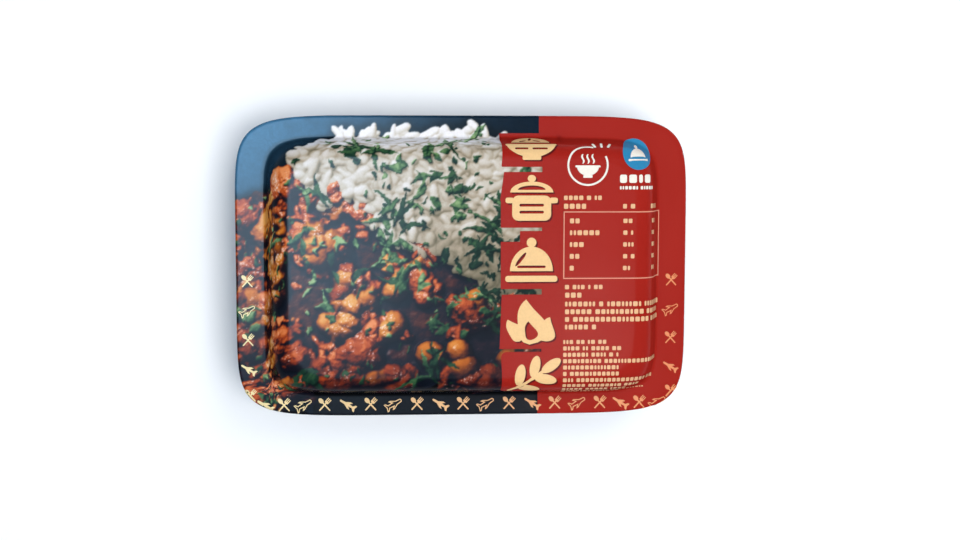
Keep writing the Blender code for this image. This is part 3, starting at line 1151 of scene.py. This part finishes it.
class Nodes:
    """A material's nodes, added one by one."""

    def __init__(self, name):
        self.material = bpy.data.materials.new(name)
        self.material.use_nodes = True
        self.tree = self.material.node_tree
        self.shader = self.tree.nodes["Principled BSDF"]
        self.place = self.add("ShaderNodeTexCoord").outputs["Object"]

    def add(self, kind, inputs=(), **settings):
        node = self.tree.nodes.new(kind)
        for key, value in settings.items():
            setattr(node, key, value)
        for key, value in dict(inputs).items():
            if isinstance(value, bpy.types.NodeSocket):
                self.tree.links.new(value, node.inputs[key])
            else:
                node.inputs[key].default_value = value
        return node

    def noise(self, scale, detail):
        inputs = {"Vector": self.place, "Scale": scale, "Detail": detail}
        return self.add("ShaderNodeTexNoise", inputs).outputs["Fac"]

    def stretch(self, value, low, high, new_low, new_high, kind="LINEAR"):
        inputs = {"Value": value, "From Min": low, "From Max": high, "To Min": new_low, "To Max": new_high}
        return self.add("ShaderNodeMapRange", inputs, interpolation_type=kind).outputs["Result"]

    def cloud(self, scale, detail, low, high):
        """Noise that goes from low to high."""
        return self.stretch(self.noise(scale, detail), 0.3, 0.7, low, high)

    def mix(self, share, first, second, kind="MIX"):
        inputs = {0: share, 6: first, 7: second}
        return self.add("ShaderNodeMix", inputs, data_type="RGBA", blend_type=kind).outputs[2]

    def shade(self, colour, share):
        """A colour, lighter or darker by that share."""
        grey = self.add("ShaderNodeCombineColor", {"Red": share, "Green": share, "Blue": share})
        return self.mix(1.0, colour, grey.outputs["Color"], "MULTIPLY")

    def link(self, value, name):
        self.tree.links.new(value, self.shader.inputs[name])

    def bump(self, height, distance, strength):
        node = self.add("ShaderNodeBump", {"Height": height, "Distance": distance, "Strength": strength})
        self.link(node.outputs["Normal"], "Normal")


def paint(colour):
    """An ink's colour for a node, from the colour as seen."""
    return (*(linear(colour) * INK_SHARE), 1)


def varnish(nodes):
    """The gloss of the lid's film, the same over the base and over every ink."""
    nodes.shader.inputs["IOR"].default_value = 1.5
    nodes.shader.inputs["Specular IOR Level"].default_value = 0.03
    nodes.link(nodes.cloud(900, 2, 0.18, 0.24), "Roughness")
    nodes.bump(nodes.noise(260, 2), 0.04 * MM, 0.25)
    return nodes.material


def ink_material():
    """Ink whose colour is stored at each point, with the fine mottling of print."""
    nodes = Nodes("ink")
    ink = nodes.add("ShaderNodeVertexColor", layer_name="Ink").outputs["Color"]
    nodes.link(nodes.shade(ink, nodes.cloud(1400, 3, 0.95, 1.04)), "Base Color")
    return varnish(nodes)


def lid_material():
    """The print's base: a clouded slate tabletop, and the red panel at the right."""
    nodes = Nodes("lid_film")
    axes = nodes.add("ShaderNodeSeparateXYZ", {"Vector": nodes.place}).outputs
    upper = nodes.stretch(axes["Y"], *SLATE_UP, 0, 1, "SMOOTHSTEP")
    right = nodes.stretch(axes["X"], *SLATE_ACROSS, 0, 1, "SMOOTHSTEP")
    slate = nodes.mix(right, paint(SLATE_LEFT), paint(SLATE_RIGHT))
    slate = nodes.mix(upper, paint(SLATE_LOW), slate)
    slate = nodes.shade(slate, nodes.cloud(70, 6, 0.78, 1.2))
    slate = nodes.shade(slate, nodes.cloud(700, 4, 0.86, 1.14))
    panel = nodes.mix(nodes.cloud(40, 2, 0, 1), paint(RED), paint(RED_LIGHT))
    in_panel = nodes.add("ShaderNodeMath", {0: axes["X"], 1: PICTURE_RIGHT * MM}, operation="GREATER_THAN")
    nodes.link(nodes.mix(in_panel.outputs[0], slate, panel), "Base Color")
    return varnish(nodes)


def tray_material():
    """Black ovenproof plastic with a satin moulded skin."""
    nodes = Nodes("tray_plastic")
    dark, light = (0.018, 0.018, 0.020, 1), (0.026, 0.026, 0.029, 1)
    nodes.link(nodes.mix(nodes.cloud(60, 4, 0, 1), dark, light), "Base Color")
    nodes.link(nodes.cloud(500, 3, 0.36, 0.50), "Roughness")
    nodes.bump(nodes.noise(1800, 2), 0.06 * MM, 0.35)
    return nodes.material


def floor_material():
    nodes = Nodes("floor")
    dark, light = (0.835, 0.865, 0.90, 1), (0.845, 0.875, 0.91, 1)
    nodes.link(nodes.mix(nodes.cloud(6, 2, 0, 1), dark, light), "Base Color")
    nodes.shader.inputs["Roughness"].default_value = 0.9
    nodes.shader.inputs["Specular IOR Level"].default_value = 0.1
    return nodes.material


def make_floor():
    half = 4.0
    corners = [(-half, -half, 0), (half, -half, 0), (half, half, 0), (-half, half, 0)]
    floor = placed("floor", new_mesh("floor", corners, [(0, 1, 2, 3)], floor_material()))


def area_light(name, place, target, size, watts, colour, mirrored):
    """A soft rectangular light. One that is mirrored only shows in gloss, and the others never do."""
    data = bpy.data.lights.new(name, "AREA")
    data.shape = "RECTANGLE"
    data.size, data.size_y = size
    data.energy = watts
    data.color = colour
    lamp = placed(name, data)
    lamp.location = place
    lamp.rotation_euler = (Vector(target) - Vector(place)).to_track_quat("-Z", "Y").to_euler()
    lamp.visible_glossy = mirrored
    lamp.visible_diffuse = not mirrored


def make_light():
    """A broad sky, two keys from the right, and a softbox and a card overhead that haze the lid."""
    pack = (0, 0, 0.04)
    pale_blue, warm = (0.81, 0.90, 1.0), (1.0, 0.965, 0.93)
    blue, rosy = (0.52, 0.77, 1.0), (1.0, 0.92, 0.92)
    area_light("sky", (0, 0, 2.2), pack, (8.0, 8.0), 88, pale_blue, False)
    area_light("key", (0.22, -0.07, 1.1), pack, (0.44, 0.44), 8.2, warm, False)
    area_light("far_key", (0.34, 0.46, 0.95), pack, (0.40, 0.40), 2.6, warm, False)
    area_light("softbox", (-0.255, 0.135, 0.95), (-0.255, 0.135, 0), (0.46, 0.56), 55.0, blue, True)
    area_light("card", (0.172, -0.18, 0.95), (0.172, -0.18, 0), (0.11, 0.17), 1.1, rosy, True)
    world = bpy.data.worlds.new("soft_room")
    bpy.context.scene.world = world
    world.use_nodes = True
    back = world.node_tree.nodes["Background"]
    back.inputs["Color"].default_value = (0.82, 0.90, 1.0, 1)
    back.inputs["Strength"].default_value = 0.30
    bpy.context.scene.view_settings.view_transform = "Standard"


def make_camera():
    """The photograph's viewpoint: half a metre above the pack, a little behind and left of its middle."""
    data = bpy.data.cameras.new("camera")
    data.lens = 50
    data.sensor_width = 36
    camera = placed("camera", data)
    camera.location = (-0.0238, 0.0446, 0.5682)
    camera.rotation_euler = (-0.0864, -0.0577, 0.0014)
    bpy.context.scene.camera = camera


def make_print():
    ink = ink_material()
    food = [Ink("print_food_left"), Ink("print_food_right")]
    patches, title = Ink("print_patches"), Ink("print_title")
    small, border = Ink("print_small"), Ink("print_border")
    relief = Relief()
    heap_rice(relief)
    heap_stew(relief)
    heap_balls(relief)
    lay_herbs(relief)
    relief.print(food)
    print_title(patches, title)
    print_table(small)
    print_small_text(small)
    print_ring(small)
    print_badge(small)
    print_border(border)
    for layer in (*food, patches, title, small, border):
        layer.build(ink)


shell("lid_shell", lid_levels(), lid_material(), "lid")
shell("tray_shell", tray_levels(), tray_material(), "tray")
make_print()
make_floor()
make_light()
make_camera()
